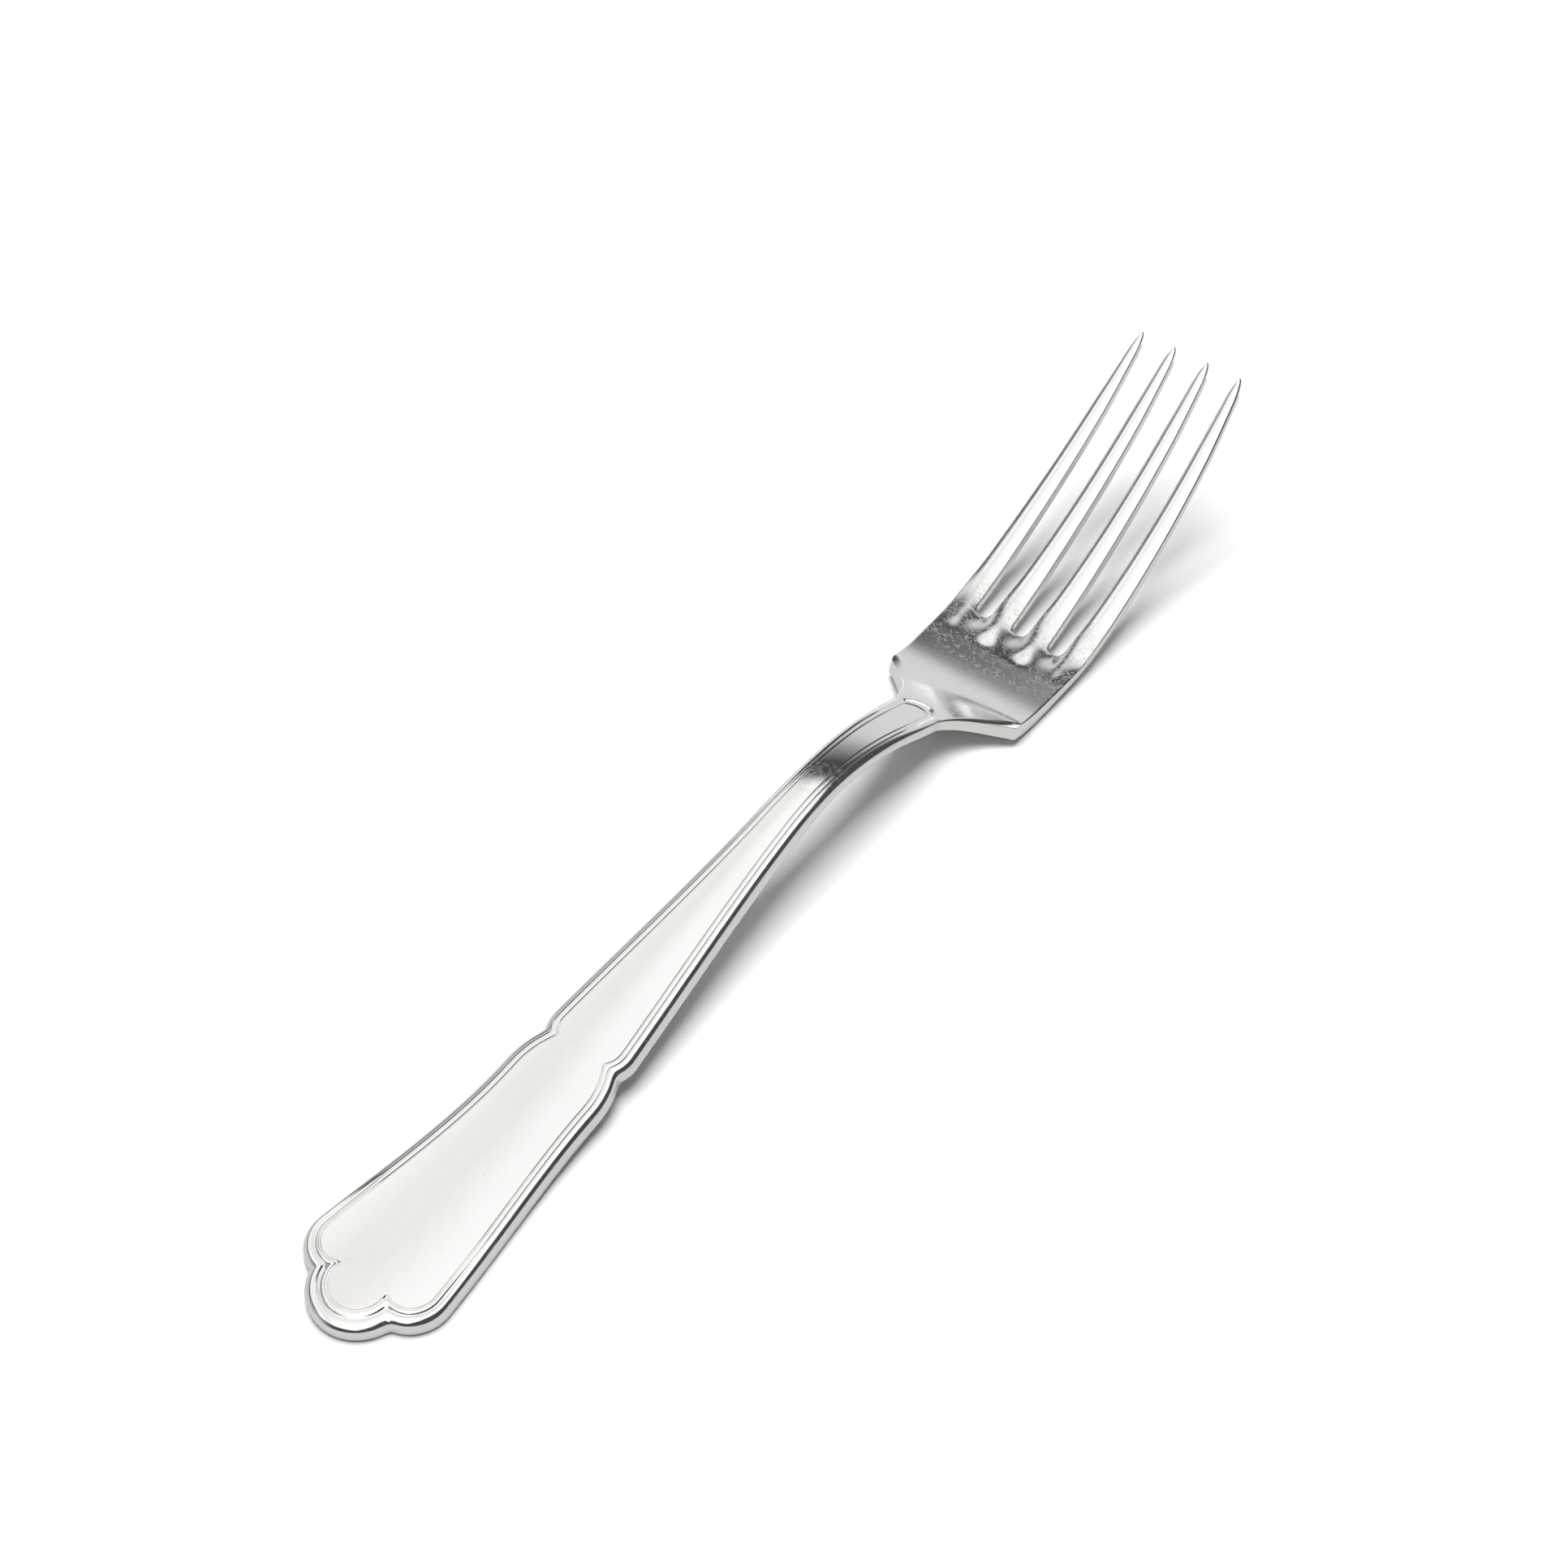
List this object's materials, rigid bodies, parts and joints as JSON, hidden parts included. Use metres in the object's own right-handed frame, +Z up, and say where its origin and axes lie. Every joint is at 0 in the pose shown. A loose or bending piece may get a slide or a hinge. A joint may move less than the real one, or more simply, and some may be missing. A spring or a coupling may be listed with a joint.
{
  "type": "dinner fork",
  "caption": "Metal table fork with a thread-bordered, lobed handle, an arched neck, a waisted head and long tapering tines that curve upward.",
  "frame": {"origin": "on the table, under the middle of the fork's length and width", "axes": "+Y from the handle's end towards the tips of the tines, +Z up with the fork lying tines up, +X to the right of the tines seen from above"},
  "size_m": [0.0244, 0.2032, 0.0291],
  "materials": {
    "silver_plate": "polished silver plate, worn with fine scratches across the palm and the neck"
  },
  "bodies": {
    "root": {"handle": "silver_plate", "neck": "silver_plate", "head": "silver_plate", "tine_1": "silver_plate", "tine_2": "silver_plate", "tine_3": "silver_plate", "tine_4": "silver_plate"}
  },
  "joints": []
}
